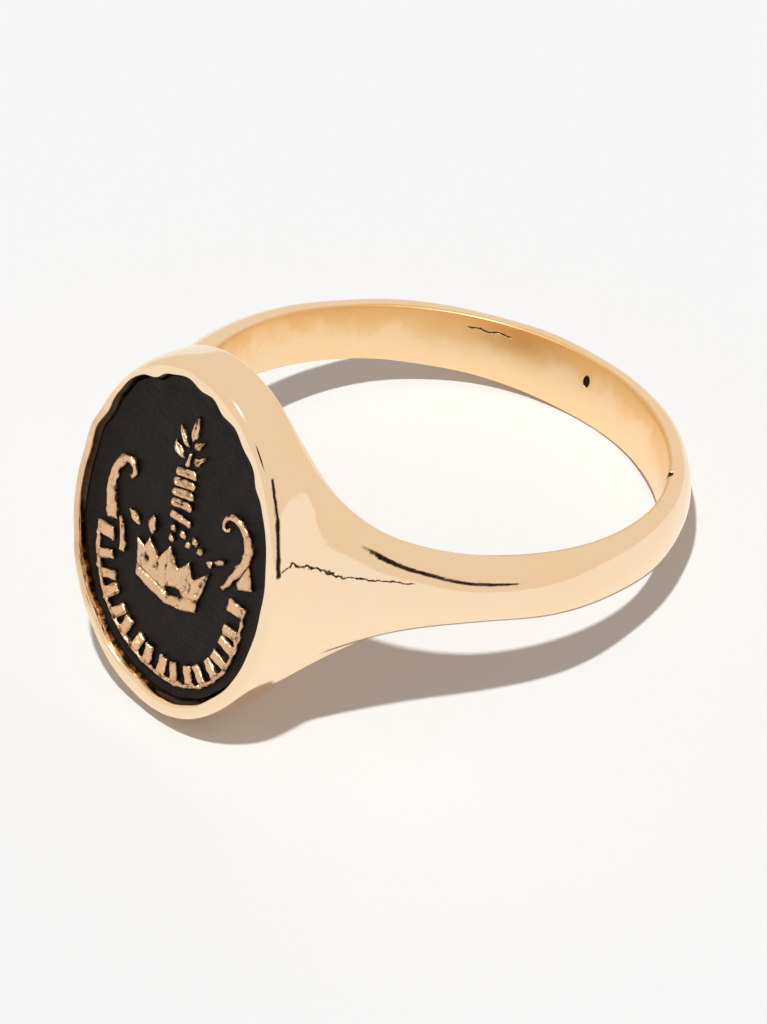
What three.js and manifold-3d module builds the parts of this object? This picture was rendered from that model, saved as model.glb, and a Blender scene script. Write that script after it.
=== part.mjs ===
// Signet ring with an oval wax-seal face, put together as a goldsmith would on the bench:
// a D-section shank, a shouldered head, a seal plate with an uneven raised rim, a blackened
// field and the raised crest. Millimetres, +Z up, resting on a table with the face to -Y.
import * as THREE from "three";
import { mergeVertices } from "three/addons/utils/BufferGeometryUtils.js";
import Module from "manifold-3d";

// Finger hole and shank
const BORE_DIAMETER = 17.3;
const SHANK_THICKNESS = 0.9; // at the back
const FLANK_THICKNESS = 0.97; // beside the finger hole
const SHANK_WIDTH = 2.56; // at the back
const FLANK_WIDTH = 2.28;
const SIDE_LAND = 0.35; // flat edge between the bore and the crown of the band
const CROWN_POWER = 0.8; // 1 is a plain half round, less is squarer
const JOINT_ANGLE = 113.5; // degrees from the back to each solder joint

// Head and seal
const HEAD_HEIGHT = 3.75; // from the bore to the face
const SEAL_WIDTH = 10.45;
const SEAL_LENGTH = 14.1;
const BORE_LAND_UNDER_HEAD = 3.8; // length of the bore wall behind the seal
const SHOULDER_THICKNESS = 1.3; // where the shoulder meets the shank
const SEAL_PULL = 1.6; // how far the skin keeps its direction behind the seal
const SHOULDER_PULL = 10.1; // and where the shoulder meets the shank
const EDGE_PULL = 3.5; // and at the bore's edge under the seal
const EDGE_FLARE = -0.3; // slope of the skin where it reaches that edge
const EDGE_LIFT = 26; // degrees up the seal's outline from which the skin runs to the shank's edge
const CROWN_LIFT = 23.5; // and to the crown of the shank
const FLANK_TAPER = -0.25; // how fast the head draws in behind the seal
const PLATE_THICKNESS = 1.7; // seal plate, rim included
const RIM_WIDTH = 0.48; // at the sides
const RIM_END_WIDTH = 0.82; // at the ends
const RIM_ROUNDING = 0.16;
const RECESS_DEPTH = 0.65;
const RECESS_DRAFT = 0.12; // how far the wall leans in on its way down

// Field and crest
const FIELD_THICKNESS = 0.12;
const RELIEF_HEIGHT = 0.32;
const CREST_MARGIN = 0.62; // between the ribbon and the recess wall
const RIBBON_WIDTH = 0.86;
const RIBBON_RAIL = 0.15; // raised line along the ribbon's outer edge
const RIBBON_BARS = 15;
const RIBBON_BAR_WIDTH = 0.38;
const RIBBON_BAR_LEAN = 0.08; // how far the bars lean along the ribbon, to and fro
const RIBBON_END = 0.5; // plain length at each end of the ribbon

// Fits
const SOLDER_GAP = 0.02;
const FIELD_CLEARANCE = 0.02; // between the black field and what rises through it
const WEAR_DEPTH = 0.04; // worn off where the ring stands on the table

const BORE_RADIUS = BORE_DIAMETER / 2;
const FACE_DISTANCE = BORE_RADIUS + HEAD_HEIGHT;
const FLOOR_DISTANCE = FACE_DISTANCE - RECESS_DEPTH;
const SEAT_DISTANCE = FACE_DISTANCE - PLATE_THICKNESS;
const OPENING_HALF_WIDTH = SEAL_WIDTH / 2 - RIM_WIDTH;
const OPENING_HALF_LENGTH = SEAL_LENGTH / 2 - RIM_END_WIDTH;

const wasm = await Module();
wasm.setup();

const GOLD = new THREE.MeshStandardMaterial({ color: 0xdcae72, roughness: 0.16, metalness: 1 });
const AGED_GOLD = new THREE.MeshStandardMaterial({ color: 0xc99360, roughness: 0.34, metalness: 1 });
const BLACKENED = new THREE.MeshStandardMaterial({ color: 0x1c1614, roughness: 0.62, metalness: 0.2 });

// ---- solids ----

function toSolid(geometry) {
  const bare = geometry.index ? geometry.toNonIndexed() : geometry.clone();
  bare.deleteAttribute("normal");
  bare.deleteAttribute("uv");
  const merged = mergeVertices(bare, 1e-4);
  const corners = merged.index.array;
  const kept = [];
  for (let i = 0; i < corners.length; i += 3) {
    const [a, b, c] = corners.slice(i, i + 3);
    if (a !== b && b !== c && c !== a) kept.push(a, b, c);
  }
  return new wasm.Manifold(
    new wasm.Mesh({
      numProp: 3,
      vertProperties: merged.attributes.position.array,
      triVerts: new Uint32Array(kept),
    }),
  );
}

function toGeometry(solid) {
  const mesh = solid.getMesh();
  const geometry = new THREE.BufferGeometry();
  geometry.setAttribute("position", new THREE.BufferAttribute(mesh.vertProperties, 3));
  geometry.setIndex(new THREE.BufferAttribute(mesh.triVerts, 1));
  const flat = geometry.toNonIndexed();
  flat.computeVertexNormals();
  return flat;
}

// Triangles over a grid of points: each row lies to the left of the next when seen from
// outside, looking along the rows.
function patch(rows) {
  const triangles = [];
  for (let i = 0; i + 1 < rows.length; i += 1) {
    for (let j = 0; j + 1 < rows[i].length; j += 1) {
      const corner = rows[i][j + 1];
      const opposite = rows[i + 1][j];
      triangles.push([rows[i][j], corner, opposite], [corner, rows[i + 1][j + 1], opposite]);
    }
  }
  return triangles;
}

function fan(centre, edge) {
  return edge.slice(1).map((point, i) => [centre, edge[i], point]);
}

function middleOf(points) {
  return points.reduce((sum, p) => sum.add(p), new THREE.Vector3()).divideScalar(points.length);
}

function skin(triangles) {
  const corners = triangles.flat().flatMap((point) => point.toArray());
  const geometry = new THREE.BufferGeometry();
  geometry.setAttribute("position", new THREE.Float32BufferAttribute(corners, 3));
  return toSolid(geometry);
}

// A closed skin over loops of equally many points, with a fan over each end.
function loft(loops) {
  const closed = loops.map((loop) => [...loop, loop[0]]);
  const first = closed[0];
  const last = closed[closed.length - 1];
  const start = fan(middleOf(loops[0]), [...first].reverse());
  const end = fan(middleOf(loops[loops.length - 1]), last);
  return skin([...patch(closed), ...start, ...end]);
}

function smooth(t) {
  return t * t * (3 - 2 * t);
}

function blend(from, to, t) {
  return from + (to - from) * t;
}

// ---- shank: angles run from the back of the ring, point(angle) turns towards +X ----

function onRing(degrees, radius, z) {
  const angle = THREE.MathUtils.degToRad(degrees);
  return new THREE.Vector3(radius * Math.sin(angle), radius * Math.cos(angle), z);
}

function bandWidth(degrees) {
  return blend(SHANK_WIDTH, FLANK_WIDTH, smooth(Math.min(1, Math.abs(degrees) / 70)));
}

function bandThickness(degrees) {
  const angle = Math.abs(degrees);
  if (angle < 75) return blend(SHANK_THICKNESS, FLANK_THICKNESS, smooth(angle / 75));
  return blend(FLANK_THICKNESS, SHOULDER_THICKNESS, smooth((angle - 75) / (JOINT_ANGLE - 75)));
}

const CROWN_STEPS = 12;
const BORE_STEPS = 2;

// Crown of the band at one place round the ring, from its -Z edge to its +Z edge.
function crownPoint(degrees, step) {
  const lift = THREE.MathUtils.degToRad(-90 + (180 * step) / CROWN_STEPS);
  const crown = Math.pow(Math.max(0, Math.cos(lift)), CROWN_POWER);
  const radius = BORE_RADIUS + blend(SIDE_LAND, bandThickness(degrees), crown);
  return onRing(degrees, radius, (bandWidth(degrees) / 2) * Math.sin(lift));
}

function bandLoop(degrees) {
  const loop = [];
  for (let step = 0; step <= CROWN_STEPS; step += 1) loop.push(crownPoint(degrees, step));
  for (let step = 0; step <= BORE_STEPS; step += 1) {
    loop.push(onRing(degrees, BORE_RADIUS, bandWidth(degrees) * (0.5 - step / BORE_STEPS)));
  }
  return loop;
}

function makeShank() {
  const gapAngle = THREE.MathUtils.radToDeg(SOLDER_GAP / BORE_RADIUS);
  const end = JOINT_ANGLE - gapAngle;
  const steps = 46;
  const loops = [];
  for (let i = 0; i <= steps; i += 1) loops.push(bandLoop((2 * end * i) / steps - end));
  return loft(loops);
}

// ---- head: skin lines run from the half ellipse behind the seal to the end of the shank ----

const SKIN_STEPS = 14;
const SWEEP_STEPS = 10; // skin lines between the mirror plane and the shank's edge, each side

// Where the bore ends beside the head, at one angle from the back of the ring.
function boreEdge(degrees, side) {
  const t = (degrees - JOINT_ANGLE) / (180 - JOINT_ANGLE);
  const half = blend(bandWidth(JOINT_ANGLE) / 2, BORE_LAND_UNDER_HEAD / 2, smooth(t));
  return onRing(degrees, BORE_RADIUS, side * half);
}

// The head's skin lines, from the -Z end of the mirror plane round to its +Z end. Each starts
// on the half ellipse behind the seal, at its lift, and ends on the bore's edge or the crown.
function skinLines() {
  const lines = [];
  const edgeLine = (i, side) => {
    const t = i / SWEEP_STEPS;
    const angle = blend(180, JOINT_ANGLE, t);
    const arrive = onRing(angle, -1, side * EDGE_FLARE * (1 - t)).normalize();
    const pull = blend(EDGE_PULL, SHOULDER_PULL, smooth(t));
    const arriving = arrive.lerp(onRing(JOINT_ANGLE - 90, 1, 0), smooth(t)).normalize();
    return { lift: side * blend(90, EDGE_LIFT, t), end: boreEdge(angle, side), arriving, pull };
  };
  for (let i = 0; i <= SWEEP_STEPS; i += 1) lines.push(edgeLine(i, -1));
  for (let step = 0; step <= CROWN_STEPS; step += 1) {
    const lift = CROWN_LIFT * ((2 * step) / CROWN_STEPS - 1);
    const arriving = onRing(JOINT_ANGLE - 90, 1, 0);
    lines.push({ lift, end: crownPoint(JOINT_ANGLE, step), arriving, pull: SHOULDER_PULL });
  }
  for (let i = SWEEP_STEPS; i >= 0; i -= 1) lines.push(edgeLine(i, 1));
  return lines;
}

function skinPoint({ lift, end, arriving, pull }, t) {
  const angle = THREE.MathUtils.degToRad(lift);
  const start = new THREE.Vector3(
    (SEAL_WIDTH / 2) * Math.cos(angle),
    -SEAT_DISTANCE,
    (SEAL_LENGTH / 2) * Math.sin(angle),
  );
  const leaving = new THREE.Vector3(0, 1, -FLANK_TAPER * Math.sin(angle));
  const t2 = t * t;
  const t3 = t2 * t;
  return start
    .multiplyScalar(2 * t3 - 3 * t2 + 1)
    .addScaledVector(leaving, SEAL_PULL * (t3 - 2 * t2 + t))
    .addScaledVector(end, -2 * t3 + 3 * t2)
    .addScaledVector(arriving, pull * (t3 - t2));
}

// The +X half of the head without its mirror plane, as triangles facing out.
function halfHead() {
  const span = (count, make) => Array.from({ length: count + 1 }, (_, i) => make(i));
  const lines = skinLines();
  const row = (index) => lines.map((line) => skinPoint(line, index / SKIN_STEPS));
  const bore = (i) => {
    const angle = blend(180, JOINT_ANGLE, i / SWEEP_STEPS);
    const edges = [boreEdge(angle, 1), boreEdge(angle, -1)];
    return span(BORE_STEPS, (k) => edges[0].clone().lerp(edges[1], k / BORE_STEPS));
  };
  const end = bandLoop(JOINT_ANGLE);
  const faceCentre = new THREE.Vector3(0, -SEAT_DISTANCE, 0);
  return [
    ...patch(span(SKIN_STEPS, row).reverse()),
    ...patch(span(SWEEP_STEPS, bore).reverse()),
    ...fan(middleOf(end), [...end, end[0]].reverse()),
    ...fan(faceCentre, row(0)),
  ];
}

function makeHead() {
  const half = halfHead();
  const mirror = (point) => new THREE.Vector3(-point.x, point.y, point.z);
  return skin([...half, ...half.map(([a, b, c]) => [mirror(a), mirror(c), mirror(b)])]);
}

// ---- seal, drawn in the face's own frame: X across, Y along the finger, Z outwards ----

// How far the rim's inner edge leaves its oval, as [degrees, millimetres] round the face.
const RIM_EDGE = [
  [-3, 0], [15, 0.05], [25, 0.04], [39, -0.15], [55, -0.04], [71, -0.12], [84, 0], [104, 0.1],
  [119, -0.02], [133, 0.11], [141, 0.08], [153, -0.06], [170, -0.03], [187, 0.1], [202, 0.1],
  [219, 0.12], [238, 0], [259, -0.04], [279, 0.06], [303, 0.18], [319, 0.14], [338, 0.05],
];

function rimWaver(degrees) {
  const turn = ((degrees % 360) + 360) % 360;
  const closed = [...RIM_EDGE, [RIM_EDGE[0][0] + 360, RIM_EDGE[0][1]]];
  for (let i = 0; i + 1 < closed.length; i += 1) {
    const [from, low] = closed[i];
    const [to, high] = closed[i + 1];
    if (turn >= from && turn <= to) return blend(low, high, smooth((turn - from) / (to - from)));
  }
  return blend(closed.at(-2)[1], closed.at(-1)[1], 0.5);
}

const FACE_STEPS = 72;

function faceLoop(halfWidth, halfLength, height, waver) {
  const loop = [];
  for (let i = 0; i < FACE_STEPS; i += 1) {
    const degrees = (360 * i) / FACE_STEPS;
    const angle = THREE.MathUtils.degToRad(degrees);
    const out = waver * rimWaver(degrees);
    const x = (halfWidth + out) * Math.cos(angle);
    const y = (halfLength + out) * Math.sin(angle);
    loop.push(new THREE.Vector3(x, y, height));
  }
  return loop;
}

function sealLoop(inset, height) {
  return faceLoop(SEAL_WIDTH / 2 - inset, SEAL_LENGTH / 2 - inset, height, 0);
}

function openingLoop(outset, height) {
  return faceLoop(OPENING_HALF_WIDTH + outset, OPENING_HALF_LENGTH + outset, height, 1);
}

function makeSealPlate() {
  const loops = [
    sealLoop(0, RECESS_DEPTH - PLATE_THICKNESS + SOLDER_GAP),
    sealLoop(0, RECESS_DEPTH - 2 * RIM_ROUNDING),
    sealLoop(RIM_ROUNDING / 3, RECESS_DEPTH - RIM_ROUNDING / 2),
    sealLoop(RIM_ROUNDING, RECESS_DEPTH),
    openingLoop(RIM_ROUNDING / 2, RECESS_DEPTH),
    openingLoop(0, RECESS_DEPTH - RIM_ROUNDING / 2),
    openingLoop(-RECESS_DRAFT, 0),
  ];
  return loft(loops);
}

// ---- crest: drawn on its own grid of millimetres, then fitted to the opening ----

const CREST_GRID_HALF_WIDTH = 4.1;
const CREST_GRID_HALF_LENGTH = 5.75;
const CREST_SCALE_X = (OPENING_HALF_WIDTH - CREST_MARGIN) / CREST_GRID_HALF_WIDTH;
const CREST_SCALE_Y = (OPENING_HALF_LENGTH - CREST_MARGIN) / CREST_GRID_HALF_LENGTH;

function onCrest(x, y) {
  return new THREE.Vector2(x * CREST_SCALE_X, y * CREST_SCALE_Y);
}

function smoothPath(points, segments) {
  return new THREE.SplineCurve(points.map(([x, y]) => onCrest(x, y))).getPoints(segments);
}

function sideNormals(path) {
  return path.map((point, i) => {
    const before = path[Math.max(0, i - 1)];
    const after = path[Math.min(path.length - 1, i + 1)];
    const along = after.clone().sub(before).normalize();
    return new THREE.Vector2(-along.y, along.x);
  });
}

// Outline of a strip that follows a path, as wide as width(t) says on the crest's grid.
function stripOutline(path, width) {
  const normals = sideNormals(path);
  const last = path.length - 1;
  const side = (sign) =>
    path.map((point, i) =>
      point.clone().addScaledVector(normals[i], (sign * CREST_SCALE_X * width(i / last)) / 2),
    );
  return [...side(-1), ...side(1).reverse()];
}

// A bar with round ends between two crest points.
function barOutline(from, to, width) {
  const start = onCrest(...from);
  const end = onCrest(...to);
  const heading = end.clone().sub(start).angle();
  const outline = [];
  const steps = 5;
  for (const [centre, turn] of [[end, -Math.PI / 2], [start, Math.PI / 2]]) {
    for (let i = 0; i <= steps; i += 1) {
      const angle = heading + turn + (Math.PI * i) / steps;
      const out = new THREE.Vector2(Math.cos(angle), Math.sin(angle));
      outline.push(centre.clone().addScaledVector(out, width / 2));
    }
  }
  return outline;
}

function leafOutline(base, tip, width) {
  const start = onCrest(...base);
  const end = onCrest(...tip);
  const across = end.clone().sub(start).normalize();
  across.set(-across.y, across.x);
  const outline = [];
  const steps = 6;
  for (let i = 0; i < 2 * steps; i += 1) {
    const t = i < steps ? i / steps : 2 - i / steps;
    const sign = i < steps ? -1 : 1;
    const bulge = Math.sin(Math.PI * Math.pow(t, 0.8)) * (width / 2);
    outline.push(start.clone().lerp(end, t).addScaledVector(across, sign * bulge));
  }
  return outline;
}

function pelletOutline(centre, diameter) {
  const middle = onCrest(...centre);
  const outline = [];
  const steps = 12;
  for (let i = 0; i < steps; i += 1) {
    const angle = (2 * Math.PI * i) / steps;
    const out = new THREE.Vector2(Math.cos(angle), Math.sin(angle));
    outline.push(middle.clone().addScaledVector(out, diameter / 2));
  }
  return outline;
}

const RIBBON_LINE = new THREE.SplineCurve(
  [
    [-3.62, -1.35], [-3.45, -2.6], [-2.88, -3.85], [-1.85, -4.8], [-0.5, -5.3],
    [0.8, -5.3], [1.95, -4.75], [2.78, -3.7], [3.15, -2.4], [3.22, -0.95],
  ].map(([x, y]) => onCrest(x, y)),
);

// A point beside the ribbon's middle line: positive is towards its outer edge.
function besideRibbon(along, aside) {
  const forward = RIBBON_LINE.getTangentAt(along);
  return RIBBON_LINE.getPointAt(along).add(new THREE.Vector2(forward.y, -forward.x).multiplyScalar(aside));
}

function ribbonPatch(from, to, inner, outer, steps) {
  const edge = (aside) =>
    Array.from({ length: steps + 1 }, (_, i) => besideRibbon(blend(from, to, i / steps), aside));
  return [...edge(outer), ...edge(inner).reverse()];
}

// The ribbon: a raised line round its outer edge, cross bars, and a plain patch at each end.
function ribbonOutlines() {
  const length = RIBBON_LINE.getLength();
  const half = RIBBON_WIDTH / 2;
  const end = RIBBON_END / length;
  const bar = RIBBON_BAR_WIDTH / length;
  const pitch = (1 - 2 * end) / (RIBBON_BARS + 1);
  const outlines = [
    ribbonPatch(0, 1, half - RIBBON_RAIL, half, 36),
    ribbonPatch(0, end, -half, half - RIBBON_RAIL / 2, 2),
    ribbonPatch(1 - end, 1, -half, half - RIBBON_RAIL / 2, 2),
  ];
  for (let i = 1; i <= RIBBON_BARS; i += 1) {
    const middle = end + i * pitch;
    const lean = (RIBBON_BAR_LEAN / length) * (i % 2 === 0 ? 1 : -1);
    outlines.push([
      besideRibbon(middle - bar / 2, half - RIBBON_RAIL / 2),
      besideRibbon(middle + bar / 2, half - RIBBON_RAIL / 2),
      besideRibbon(middle + bar / 2 + lean, -half),
      besideRibbon(middle - bar / 2 + lean, -half),
    ]);
  }
  return outlines;
}

const CORONET_OUTLINE = [
  [-1.84, -2.5], [-1.1, -2.74], [-0.3, -2.84], [0.6, -2.74], [1.3, -2.44], [1.28, -1.96],
  [1.42, -1.5], [1.6, -0.56], [0.94, -1.26], [0.62, -0.66], [0.12, -1.22], [-0.42, -0.55],
  [-0.88, -1.24], [-1.46, -0.68], [-1.64, -1.24], [-2.06, -1.02], [-1.9, -1.9],
].map(([x, y]) => onCrest(x, y));

const CORONET_EYE = barOutline([-0.12, -2.28], [0.3, -2.18], 0.3);

const LEFT_TAIL = [
  [-2.82, 1.02], [-2.68, 1.3], [-2.78, 1.6], [-3.1, 1.68], [-3.42, 1.4], [-3.62, 0.9],
  [-3.68, 0.2], [-3.55, -0.45], [-3.38, -0.98],
];
const LEFT_FOLD = [[-3.02, -0.72], [-2.84, -1.2], [-2.7, -1.7], [-2.66, -2.0]];
const RIGHT_TAIL = [
  [2.3, 1.62], [2.08, 1.5], [1.94, 1.72], [2.1, 2.05], [2.5, 2.16], [2.98, 1.92],
  [3.3, 1.35], [3.2, 0.7], [2.82, 0.02], [2.36, -0.82],
];

// Every raised piece of the crest: its name, the outlines that make it up and its holes.
function crestPieces() {
  const pieces = [];
  const add = (name, outline, holes = []) => pieces.push({ name, outlines: [outline], holes });
  const leaves = [
    [[-0.16, 3.98], [-0.1, 5.05], 0.32],
    [[-0.3, 3.62], [-0.95, 4.34], 0.26],
    [[-0.06, 3.7], [0.36, 4.24], 0.24],
    [[-0.46, 3.12], [-1.08, 3.64], 0.34],
    [[0.02, 3.12], [0.56, 3.68], 0.26],
  ];
  leaves.forEach(([base, tip, width], i) => add(`sprig_leaf_${i + 1}`, leafOutline(base, tip, width)));
  add("sprig_stem", barOutline([-0.26, 2.98], [-0.18, 3.42], 0.16));
  const wraps = [2.6, 2.17, 1.74, 1.31];
  wraps.forEach((y, i) => add(`grip_wrap_${i + 1}`, barOutline([-0.6, y - 0.1], [0.12, y + 0.1], 0.32)));
  add("grip_collar", barOutline([-0.56, 0.72], [0.24, 0.76], 0.28));
  const pellets = [
    [-0.44, 0.24], [0.08, 0.2], [-0.44, -0.2], [0.4, -0.06], [0.7, 0.24], [1.04, 0.02], [1.6, -0.22],
  ];
  pellets.forEach((centre, i) => add(`pellet_${i + 1}`, pelletOutline(centre, 0.28)));
  add("coronet", CORONET_OUTLINE, [CORONET_EYE]);
  add("finial_leaf_right", leafOutline([1.78, -0.02], [2.28, 0.26], 0.24));
  add("finial_left_inner", leafOutline([-1.42, -0.56], [-1.46, 0.22], 0.42));
  add("finial_left_outer", leafOutline([-2.06, -0.56], [-2.62, -0.16], 0.34));
  pieces.push({ name: "ribbon_band", outlines: ribbonOutlines(), holes: [] });
  add("ribbon_fold_left", stripOutline(smoothPath(LEFT_FOLD, 8), (t) => 0.16 + 0.12 * t));
  add("ribbon_tail_left", stripOutline(smoothPath(LEFT_TAIL, 22), (t) => 0.14 + 0.4 * t));
  const swell = (t) => 0.13 + 0.26 * Math.sin(Math.PI * Math.pow(t, 2.2));
  add("ribbon_tail_right", stripOutline(smoothPath(RIGHT_TAIL, 26), swell));
  const end = [[3.42, 0.72], [3.8, -0.14], [3.12, -0.36], [3.0, -0.18]];
  add("ribbon_end_right", end.map(([x, y]) => onCrest(x, y)).reverse());
  return pieces;
}

// Moves an outline sideways by a small distance, outwards when it is positive.
function offsetOutline(points, distance) {
  const sign = THREE.ShapeUtils.isClockWise(points) ? -1 : 1;
  return points.map((point, i) => {
    const before = points[(i + points.length - 1) % points.length];
    const after = points[(i + 1) % points.length];
    const into = point.clone().sub(before).normalize();
    const away = after.clone().sub(point).normalize();
    const normal = new THREE.Vector2(into.y + away.y, -into.x - away.x).normalize();
    const spread = Math.max(0.35, normal.x * into.y - normal.y * into.x);
    return point.clone().addScaledVector(normal, (sign * distance) / spread);
  });
}

function prism(outline, low, high) {
  const settings = { depth: high - low, bevelEnabled: false };
  const shape = new THREE.Shape(outline);
  return toSolid(new THREE.ExtrudeGeometry(shape, settings).translate(0, 0, low));
}

// A piece of the crest, widened by a clearance, between two heights.
function pieceSolid({ outlines, holes }, clearance, low, high) {
  const wide = outlines.map((outline) => prism(offsetOutline(outline, clearance), low, high));
  const joined = wide.reduce((sum, part) => sum.add(part));
  return holes.reduce(
    (sum, hole) => sum.subtract(prism(offsetOutline(hole, -clearance), low - 1, high + 1)),
    joined,
  );
}

function makeField(pieces) {
  const low = SOLDER_GAP;
  const high = SOLDER_GAP + FIELD_THICKNESS;
  const inset = RECESS_DRAFT + FIELD_CLEARANCE;
  const outline = openingLoop(-inset, 0).map((point) => new THREE.Vector2(point.x, point.y));
  return pieces.reduce((field, { outlines }) => {
    const cut = { outlines, holes: [] };
    return field.subtract(pieceSolid(cut, FIELD_CLEARANCE, low - 1, high + 1));
  }, prism(outline, low, high));
}

// ---- assembly ----

function named(name, geometry, material) {
  const mesh = new THREE.Mesh(geometry, material);
  mesh.name = name;
  return mesh;
}

function lowestAt(points, tilt) {
  return Math.min(...points.map((p) => p.z * Math.cos(tilt) - p.y * Math.sin(tilt)));
}

// The tilt at which the lower end of the head and the back of the shank both touch the table.
function restTilt(headPoints, shankPoints) {
  let low = 0;
  let high = Math.PI / 4;
  for (let i = 0; i < 40; i += 1) {
    const middle = (low + high) / 2;
    if (lowestAt(headPoints, middle) < lowestAt(shankPoints, middle)) low = middle;
    else high = middle;
  }
  return (low + high) / 2;
}

function pointsOf(solid) {
  const flat = solid.getMesh().vertProperties;
  const points = [];
  for (let i = 0; i < flat.length; i += 3) points.push(new THREE.Vector3(...flat.slice(i, i + 3)));
  return points;
}

const shank = makeShank();
const head = makeHead();
const sealPlate = makeSealPlate();

const face = new THREE.Group();
face.rotation.x = Math.PI / 2;
face.position.y = -FLOOR_DISTANCE;
face.updateMatrix();

const sealPoints = pointsOf(sealPlate).map((point) => point.applyMatrix4(face.matrix));
const tilt = restTilt([...pointsOf(head), ...sealPoints], pointsOf(shank));
const ring = new THREE.Group();
ring.rotation.x = -tilt;
ring.add(face);
ring.updateMatrixWorld(true);

const standing = [...pointsOf(shank), ...pointsOf(head), ...sealPoints];
const box = new THREE.Box3().setFromPoints(standing.map((point) => point.applyMatrix4(ring.matrix)));
ring.position.set(0, -(box.min.y + box.max.y) / 2, -box.min.z - WEAR_DEPTH);
ring.updateMatrixWorld(true);

// Cuts off what would lie below the table, in the frame of the object that is cut.
function wearFlat(solid, frame) {
  const depth = 2;
  const table = new THREE.BoxGeometry(60, 60, depth).translate(0, 0, -depth / 2);
  table.applyMatrix4(frame.matrixWorld.clone().invert());
  return solid.subtract(toSolid(table));
}

ring.add(named("shank", toGeometry(wearFlat(shank, ring)), GOLD));
ring.add(named("head", toGeometry(wearFlat(head, ring)), GOLD));
face.add(named("seal_plate", toGeometry(wearFlat(sealPlate, face)), GOLD));

const pieces = crestPieces();
face.add(named("black_field", toGeometry(makeField(pieces)), BLACKENED));
for (const piece of pieces) {
  const relief = pieceSolid(piece, 0, SOLDER_GAP, SOLDER_GAP + RELIEF_HEIGHT);
  face.add(named(piece.name, toGeometry(relief), AGED_GOLD));
}
const inlay = prism(offsetOutline(CORONET_EYE, -FIELD_CLEARANCE), SOLDER_GAP, SOLDER_GAP + FIELD_THICKNESS);
face.add(named("coronet_inlay", toGeometry(inlay), BLACKENED));

const signetRing = new THREE.Group();
signetRing.add(ring);

export default signetRing;
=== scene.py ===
# Signet ring with an oval wax-seal face: the cast and finished ring around its CAD frame.
# Sizes are in millimetres until a mesh is made, in the ring's own frame: +Z along the finger,
# -Y out of the face, the middle of the finger hole at the origin.
import math

import bmesh
import bpy
import numpy as np
from mathutils import Matrix, Vector


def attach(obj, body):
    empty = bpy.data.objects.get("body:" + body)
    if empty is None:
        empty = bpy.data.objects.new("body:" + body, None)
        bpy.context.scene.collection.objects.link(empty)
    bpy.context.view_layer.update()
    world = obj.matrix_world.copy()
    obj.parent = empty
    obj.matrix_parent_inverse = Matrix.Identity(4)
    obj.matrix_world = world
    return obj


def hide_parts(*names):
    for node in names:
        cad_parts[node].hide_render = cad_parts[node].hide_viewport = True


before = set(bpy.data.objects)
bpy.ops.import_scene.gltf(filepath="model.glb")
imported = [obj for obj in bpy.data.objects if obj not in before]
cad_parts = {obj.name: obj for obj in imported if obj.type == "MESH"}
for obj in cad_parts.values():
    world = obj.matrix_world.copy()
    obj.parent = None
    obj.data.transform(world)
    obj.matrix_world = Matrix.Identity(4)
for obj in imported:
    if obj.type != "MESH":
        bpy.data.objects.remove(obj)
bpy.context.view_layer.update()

# Finger hole and shank
BORE_RADIUS = 8.65
SHANK_THICKNESS = 0.9
FLANK_THICKNESS = 0.97
SHOULDER_THICKNESS = 1.3
SHANK_WIDTH = 2.56
FLANK_WIDTH = 2.28
SIDE_LAND = 0.35
BORE_CROWN = 0.13  # the wall of the finger hole swells towards the finger
CROWN_POWER = 0.8
NARROWEST_AT = 70  # degrees from the back to where the band stops narrowing
FLANK_ANGLE = 75  # and to where it is as thick as FLANK_THICKNESS
JOINT_ANGLE = 113.5  # and to each solder joint

# Head and seal
HEAD_HEIGHT = 3.75
SEAL_WIDTH = 10.45
SEAL_LENGTH = 14.1
BORE_LAND_UNDER_HEAD = 3.8
SEAL_PULL = 1.6
SHOULDER_PULL = 10.1
EDGE_PULL = 3.5
EDGE_FLARE = -0.3
EDGE_LIFT = 26
CROWN_LIFT = 23.5
FLANK_TAPER = -0.25
PLATE_THICKNESS = 1.7
RIM_WIDTH = 0.48
RIM_END_WIDTH = 0.82
RIM_ROUNDING = 0.42
RIM_SHARPENING = 0.55  # share of the rounding that is lost at the +X end of the rim
RIM_SHARP_SPAN = 34  # degrees over which that fades
OPENING_SHIFT = (-0.12, 0.03)  # the opening is a little off the middle of the seal
RECESS_DEPTH = 0.65
RECESS_DRAFT = 0.12
FIELD_TOP = 0.14
RELIEF_TOP = 0.34
RELIEF_FOOT = 0.05
CREST_MARGIN = 0.62

FACE_DISTANCE = BORE_RADIUS + HEAD_HEIGHT
FLOOR_DISTANCE = FACE_DISTANCE - RECESS_DEPTH
SEAT_DISTANCE = FACE_DISTANCE - PLATE_THICKNESS
OPENING_HALF_WIDTH = SEAL_WIDTH / 2 - RIM_WIDTH
OPENING_HALF_LENGTH = SEAL_LENGTH / 2 - RIM_END_WIDTH

# How the ring rests on the table: tipped back about the X axis, and where its middle is
TILT = math.radians(16.2957)
MIDDLE = np.array([0, 2.27133, 3.72441])

MM = 0.001


def to_row(points):
    """Ring frame to row frame, both in millimetres."""
    points = np.asarray(points, float)
    c, s = math.cos(TILT), math.sin(TILT)
    y = points[:, 1] * c + points[:, 2] * s
    z = -points[:, 1] * s + points[:, 2] * c
    return np.column_stack([points[:, 0], y, z]) + MIDDLE


def from_face(points):
    """Face frame (across, along the finger, outwards from the recess floor) to ring frame."""
    points = np.asarray(points, float)
    return np.column_stack([points[:, 0], -FLOOR_DISTANCE - points[:, 2], points[:, 1]])


def smooth(t):
    return t * t * (3 - 2 * t)


def blend(low, high, t):
    return low + (high - low) * t


def unit(v):
    return v / np.linalg.norm(v)


# ---- the gold body: one skin over shank, head and seal plate, split into its pieces later ----

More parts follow.
